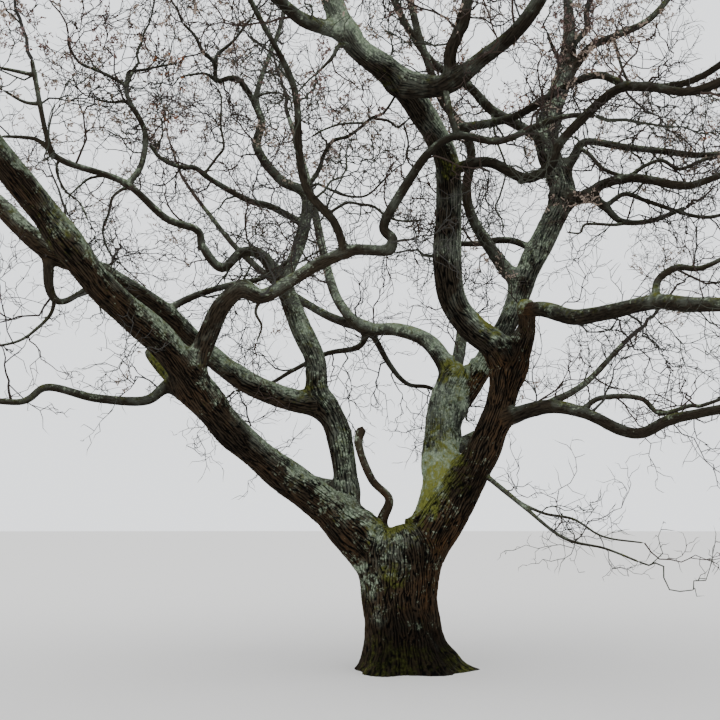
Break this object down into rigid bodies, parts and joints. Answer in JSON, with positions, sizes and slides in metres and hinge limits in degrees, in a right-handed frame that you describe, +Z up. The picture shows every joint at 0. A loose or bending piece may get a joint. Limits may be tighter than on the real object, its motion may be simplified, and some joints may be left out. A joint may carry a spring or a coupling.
{
  "type": "bare oak tree",
  "caption": "Old open-grown oak in winter: short thick trunk with root flare, low fork, long sinuous boughs and a wide crown of bare twigs",
  "frame": {"origin": "on the level ground under the trunk, at the flat cut that is the ground mount", "axes": "+Z up, +X to the right and +Y away, as seen from the side where the low fork opens left and right"},
  "size_m": [13.9073, 11.8252, 12.7251],
  "materials": {
    "trunk_bark": "deeply fissured bark, lichen and moss",
    "bough_bark": "ridged bark, grey lichen above, dark below",
    "twigs": "smooth thin bark"
  },
  "bodies": {
    "root": {"trunk": "trunk_bark", "left_bough": "bough_bark", "right_stem": "bough_bark", "back_stem": "bough_bark", "left_riser": "bough_bark", "left_arch": "bough_bark", "crossing_bough": "bough_bark", "crossing_bough_far": "bough_bark", "crossing_riser": "bough_bark", "winding_riser": "bough_bark", "winding_limb": "bough_bark", "winding_fork": "bough_bark", "low_left_limb": "bough_bark", "centre_stem": "bough_bark", "centre_stem_top": "bough_bark", "centre_right_fork": "bough_bark", "centre_left_fork": "bough_bark", "front_right_limb": "bough_bark", "back_arch": "bough_bark", "tall_stem": "bough_bark", "tall_stem_top": "bough_bark", "slanting_limb": "bough_bark", "inner_limb": "bough_bark", "upper_right_limb": "bough_bark", "right_limb": "bough_bark", "right_back_limb": "bough_bark", "top_right_limb": "bough_bark", "side_limb": "bough_bark", "low_right_limb": "bough_bark", "dead_stub": "bough_bark", "rear_right_bough": "bough_bark", "rear_left_bough": "bough_bark", "low_rear_right_bough": "bough_bark", "low_rear_left_bough": "bough_bark", "left_bough_twigs": "twigs", "left_arch_twigs": "twigs", "crossing_bough_far_twigs": "twigs", "crossing_riser_twigs": "twigs", "winding_riser_twigs": "twigs", "winding_limb_twigs": "twigs", "winding_fork_twigs": "twigs", "low_left_limb_twigs": "twigs", "centre_stem_top_twigs": "twigs", "centre_right_fork_twigs": "twigs", "centre_left_fork_twigs": "twigs", "front_right_limb_twigs": "twigs", "back_arch_twigs": "twigs", "tall_stem_top_twigs": "twigs", "slanting_limb_twigs": "twigs", "inner_limb_twigs": "twigs", "upper_right_limb_twigs": "twigs", "right_limb_twigs": "twigs", "right_back_limb_twigs": "twigs", "top_right_limb_twigs": "twigs", "side_limb_twigs": "twigs", "low_right_limb_twigs": "twigs", "rear_right_bough_twigs": "twigs", "rear_left_bough_twigs": "twigs", "low_rear_right_bough_twigs": "twigs", "low_rear_left_bough_twigs": "twigs"}
  },
  "joints": []
}
